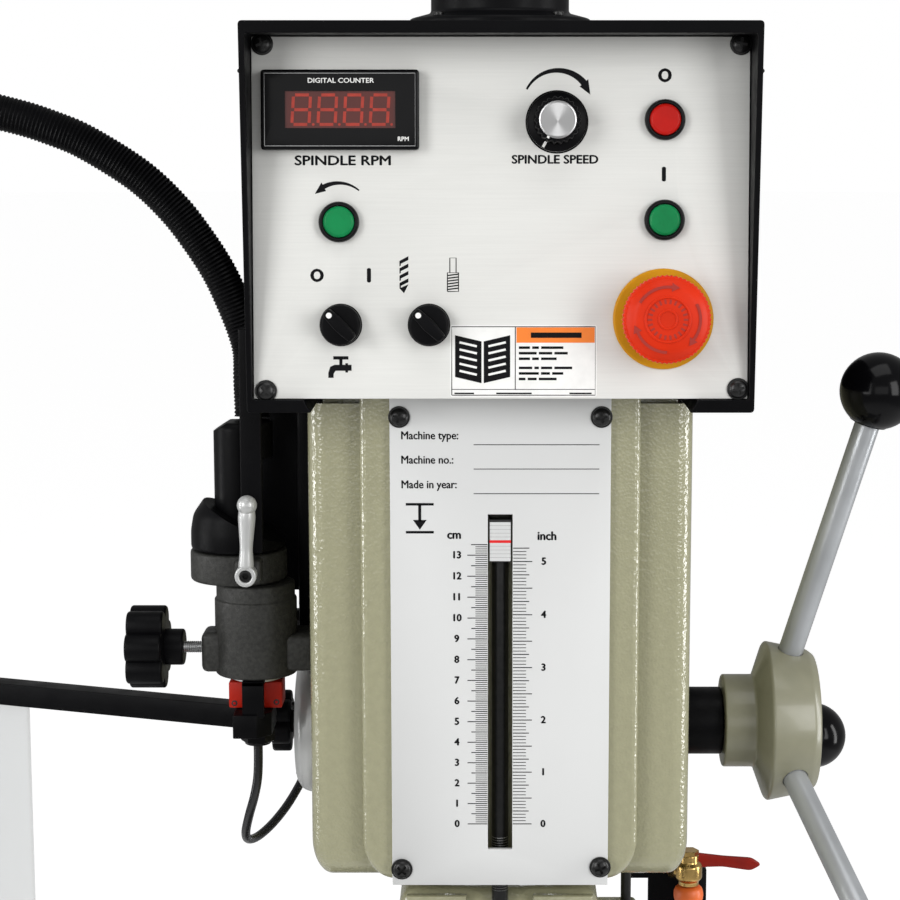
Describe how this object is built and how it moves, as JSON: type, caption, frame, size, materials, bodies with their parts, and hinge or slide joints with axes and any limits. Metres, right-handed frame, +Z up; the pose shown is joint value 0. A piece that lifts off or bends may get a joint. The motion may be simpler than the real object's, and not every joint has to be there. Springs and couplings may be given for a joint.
{
  "type": "floor-standing drill press",
  "caption": "Floor-standing drill press: column, geared table, belt-driven quill head, three-arm feed handle, leaning control panel, swing-away chuck guard, gooseneck lamp and coolant tap.",
  "frame": {"origin": "on the floor under the column axis, at the base underside", "axes": "+Z up along the column, -Y towards the operator and the spindle, +X to the operator's right"},
  "size_m": [0.6603, 0.7957, 1.723],
  "materials": {
    "head_paint": "gloss pebbled olive-beige enamel",
    "dark_iron": "dark rough casting",
    "black_paint": "satin black powder coat",
    "black_plastic": "satin black",
    "gloss_black": "gloss black",
    "machined_iron": "machined grey iron",
    "steel": "ground steel",
    "panel_aluminium": "brushed and anodised",
    "cast_aluminium": "satin cast aluminium",
    "scale_plate": "light grey coated sheet",
    "signal_red": "gloss red",
    "signal_green": "gloss green",
    "switch_red": "satin orange-red",
    "brass": "machined brass",
    "hose_plastic": "moulded orange and blue segments",
    "belt_rubber": "matt black",
    "clear_plastic": "clear polycarbonate",
    "motor_paint": "satin dark grey"
  },
  "bodies": {
    "root": {"base": "dark_iron", "column_flange": "dark_iron", "column": "steel", "head_casting": "head_paint", "scale_plate": "scale_plate", "drive_housing": "black_paint", "spindle_cap": "black_plastic", "motor": "motor_paint", "drive_belt": "belt_rubber", "feed_sleeve": "black_plastic", "spring_housing": "cast_aluminium", "return_spring": "steel", "control_panel": "panel_aluminium", "speed_display": "black_plastic", "guard_mount": "dark_iron", "interlock_switch": "switch_red", "switch_gland": "black_plastic", "switch_cable": "black_plastic", "clamp_ring": "dark_iron", "lamp_base": "black_plastic", "lamp_gooseneck": "black_plastic", "lamp_head": "black_paint", "side_bracket": "black_paint", "cover_bar": "black_paint", "valve_bracket": "black_paint", "coolant_valve": "brass", "coolant_hose": "hose_plastic"},
    "table_ring": {"column_rack": "steel"},
    "table_arm": {"table_arm": "dark_iron"},
    "table": {"work_table": "machined_iron"},
    "crank": {"table_crank": "steel"},
    "table_lock": {"table_lock_lever": "gloss_black"},
    "quill": {"quill": "steel", "quill_bracket": "head_paint", "depth_rod": "steel"},
    "spindle": {"spindle": "steel", "drill_chuck": "steel"},
    "spindle_pulley": {"spindle_pulley": "cast_aluminium"},
    "motor_rotor": {"motor_pulley": "cast_aluminium"},
    "feed_handle": {"feed_shaft": "steel", "feed_hub": "head_paint", "feed_arm_1": "steel", "feed_arm_2": "steel", "feed_arm_3": "steel", "feed_ball_1": "gloss_black", "feed_ball_2": "gloss_black", "feed_ball_3": "gloss_black"},
    "spring_knob": {"spring_knob": "black_plastic"},
    "guard": {"guard_arm": "black_paint", "guard_shield": "clear_plastic"},
    "guard_knob": {"guard_knob": "black_plastic"},
    "clamp_lever": {"clamp_lever": "cast_aluminium"},
    "valve_lever": {"valve_lever": "signal_red"},
    "coolant_button": {"coolant_button": "signal_green"},
    "stop_button": {"stop_button": "signal_red"},
    "start_button": {"start_button": "signal_green"},
    "function_selector": {"function_selector": "black_plastic"},
    "tapping_selector": {"tapping_selector": "black_plastic"},
    "speed_knob": {"speed_knob": "black_plastic"},
    "emergency_stop": {"emergency_stop": "signal_red"}
  },
  "joints": [
    {"name": "table_swivel", "type": "hinge", "parent": "root", "child": "table_ring", "pos_m": [0, 0, 0.753], "axis": [0, 0, 1], "range_deg": [-90, 90]},
    {"name": "table_height", "type": "slide", "parent": "table_ring", "child": "table_arm", "axis": [0, 0, 1], "range_m": [-0.43, 0.15]},
    {"name": "table_tilt", "type": "hinge", "parent": "table_arm", "child": "table", "pos_m": [0, -0.18, 0.753], "axis": [0, 1, 0], "range_deg": [-45, 45]},
    {"name": "crank_turn", "type": "hinge", "parent": "table_arm", "child": "crank", "pos_m": [0, 0.088, 0.753], "axis": [1, 0, 0], "range_deg": [-1370, 478]},
    {"name": "table_lock_turn", "type": "hinge", "parent": "table_arm", "child": "table_lock", "pos_m": [-0.116, 0, 0.753], "axis": [1, 0, 0], "range_deg": [-60, 60]},
    {"name": "quill_feed", "type": "slide", "parent": "root", "child": "quill", "axis": [0, 0, -1], "range_m": [0, 0.13], "stiffness_N_per_m": 500, "springref_m": -0.45},
    {"name": "spindle_spin", "type": "hinge", "parent": "quill", "child": "spindle", "pos_m": [0, -0.3115, 1.2], "axis": [0, 0, 1], "continuous": true},
    {"name": "spindle_pulley_spin", "type": "hinge", "parent": "root", "child": "spindle_pulley", "pos_m": [0, -0.3115, 1.525], "axis": [0, 0, 1], "continuous": true},
    {"name": "motor_spin", "type": "hinge", "parent": "root", "child": "motor_rotor", "pos_m": [0, 0.165, 1.525], "axis": [0, 0, 1], "continuous": true},
    {"name": "feed_turn", "type": "hinge", "parent": "root", "child": "feed_handle", "pos_m": [0, -0.2675, 1.2968], "axis": [1, 0, 0], "range_deg": [-1, 500]},
    {"name": "spring_knob_turn", "type": "hinge", "parent": "root", "child": "spring_knob", "pos_m": [-0.11, -0.2675, 1.2968], "axis": [1, 0, 0], "range_deg": [0, 360]},
    {"name": "guard_swing", "type": "hinge", "parent": "root", "child": "guard", "pos_m": [-0.121, -0.3135, 1.315], "axis": [0, 0, 1], "range_deg": [0, 109]},
    {"name": "guard_knob_turn", "type": "hinge", "parent": "root", "child": "guard_knob", "pos_m": [-0.16, -0.3135, 1.347], "axis": [1, 0, 0], "range_deg": [0, 360]},
    {"name": "clamp_lever_turn", "type": "hinge", "parent": "root", "child": "clamp_lever", "pos_m": [-0.1223, -0.3435, 1.3892], "axis": [0, 1, 0], "range_deg": [-95, 0]},
    {"name": "valve_lever_turn", "type": "hinge", "parent": "root", "child": "valve_lever", "pos_m": [0.1037, -0.2135, 1.203], "axis": [0, -1, 0], "range_deg": [0, 90]},
    {"name": "coolant_button_push", "type": "slide", "parent": "root", "child": "coolant_button", "axis": [0, 0.9976, -0.0698], "range_m": [0, 0.0035], "stiffness_N_per_m": 800, "springref_m": -0.002},
    {"name": "stop_button_push", "type": "slide", "parent": "root", "child": "stop_button", "axis": [0, 0.9976, -0.0698], "range_m": [0, 0.0035], "stiffness_N_per_m": 800, "springref_m": -0.002},
    {"name": "start_button_push", "type": "slide", "parent": "root", "child": "start_button", "axis": [0, 0.9976, -0.0698], "range_m": [0, 0.0035], "stiffness_N_per_m": 800, "springref_m": -0.002},
    {"name": "emergency_stop_push", "type": "slide", "parent": "root", "child": "emergency_stop", "axis": [0, 0.9976, -0.0698], "range_m": [0, 0.004]},
    {"name": "function_selector_turn", "type": "hinge", "parent": "root", "child": "function_selector", "pos_m": [-0.0718, -0.39607, 1.51472], "axis": [0, -0.9976, 0.0698], "range_deg": [-90, 0]},
    {"name": "tapping_selector_turn", "type": "hinge", "parent": "root", "child": "tapping_selector", "pos_m": [-0.0322, -0.39607, 1.51472], "axis": [0, -0.9976, 0.0698], "range_deg": [-90, 0]},
    {"name": "speed_knob_turn", "type": "hinge", "parent": "root", "child": "speed_knob", "pos_m": [0.0251, -0.38976, 1.60499], "axis": [0, -0.9976, 0.0698], "range_deg": [-270, 0]}
  ],
  "couplings": [
    {"joint": "crank_turn", "follows": "table_height", "rad_per_m": 55.556},
    {"joint": "feed_turn", "follows": "quill_feed", "rad_per_m": 66.667},
    {"joint": "spindle_pulley_spin", "follows": "spindle_spin", "ratio": 1},
    {"joint": "motor_spin", "follows": "spindle_spin", "ratio": 1.5405}
  ]
}
